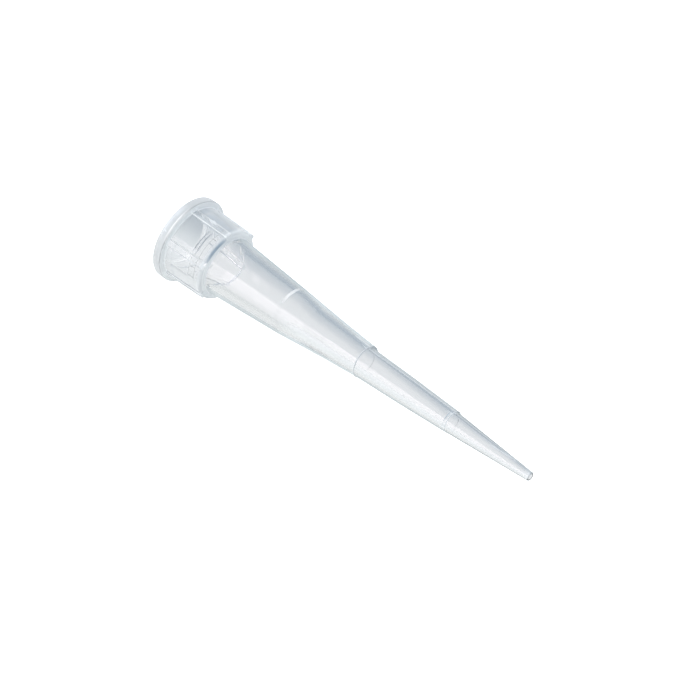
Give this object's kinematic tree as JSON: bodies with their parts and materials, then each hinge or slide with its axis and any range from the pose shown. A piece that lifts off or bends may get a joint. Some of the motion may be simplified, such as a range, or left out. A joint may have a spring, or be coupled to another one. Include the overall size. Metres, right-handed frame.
{
  "type": "pipette tip",
  "caption": "Short clear moulded pipette tip: ribbed collar with a stepped socket for a push-on nozzle, and a stepped taper down to a fine orifice.",
  "frame": {"origin": "centre of the open mouth, on the plane that the tip stands on", "axes": "+Z along the bore from the mouth up to the orifice; +X through the middle of one of the collar's ribs"},
  "size_m": [0.006, 0.006, 0.031],
  "materials": {
    "clear_polypropylene": "smooth, glossy, translucent and uncoloured"
  },
  "bodies": {
    "root": {"pipette_tip": "clear_polypropylene"}
  },
  "joints": []
}
